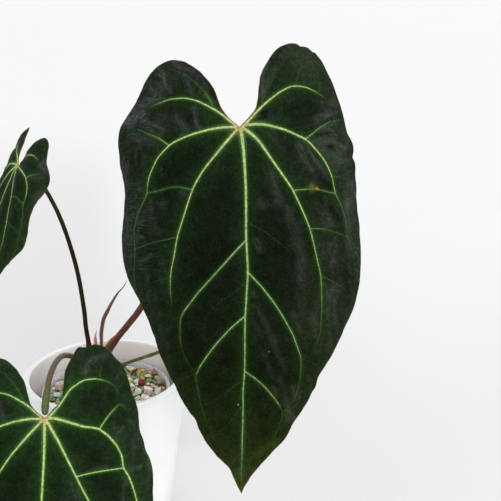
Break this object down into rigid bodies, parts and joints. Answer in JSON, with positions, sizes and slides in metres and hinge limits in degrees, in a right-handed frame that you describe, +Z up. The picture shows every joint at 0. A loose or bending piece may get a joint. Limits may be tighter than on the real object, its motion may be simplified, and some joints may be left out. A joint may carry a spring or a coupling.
{
  "type": "potted anthurium hybrid",
  "caption": "Velvet-leaved anthurium in a clear grow pot inside a white tapered cover pot, with heart-shaped dark leaves, pale veins and a mineral substrate.",
  "frame": {"origin": "centre of the cover pot's foot, on the ground", "axes": "+Z up along the pot's axis; -Y is the side the largest leaf faces; +X is to the right seen from there"},
  "size_m": [0.3528, 0.3574, 0.4482],
  "materials": {
    "pot_glaze": "gloss",
    "clear_plastic": "gloss",
    "mineral_mix": "matte",
    "pumice": "matte",
    "lava_rock": "matte",
    "sage_stone": "matte",
    "pale_stone": "matte",
    "grey_stone": "matte",
    "ochre_stone": "matte",
    "stem_bark": "matte",
    "leaf_main": "satin",
    "leaf_front": "satin",
    "leaf_left": "satin",
    "petiole_brown": "satin",
    "petiole_dark": "satin",
    "new_leaf_red": "satin",
    "cataphyll_pink": "satin",
    "peduncle_olive": "satin",
    "spathe_green": "satin",
    "spadix_olive": "matte"
  },
  "bodies": {
    "root": {"cover_pot": "pot_glaze", "nursery_pot": "clear_plastic", "substrate": "mineral_mix", "stone_pumice_large": "pumice", "stone_pumice_small": "pumice", "stone_lava": "lava_rock", "stone_sage": "sage_stone", "stone_white": "pale_stone", "stone_grey": "grey_stone", "stone_ochre": "ochre_stone", "stone_back": "sage_stone", "stone_left": "pumice", "stone_front": "grey_stone", "stem_and_roots": "stem_bark", "petiole_main": "petiole_brown", "petiole_front": "petiole_brown", "petiole_left": "petiole_dark", "blade_main": "leaf_main", "blade_front": "leaf_front", "blade_left": "leaf_left", "new_leaf": "new_leaf_red", "cataphyll": "cataphyll_pink", "peduncle": "peduncle_olive", "spathe": "spathe_green", "spadix": "spadix_olive"}
  },
  "joints": []
}
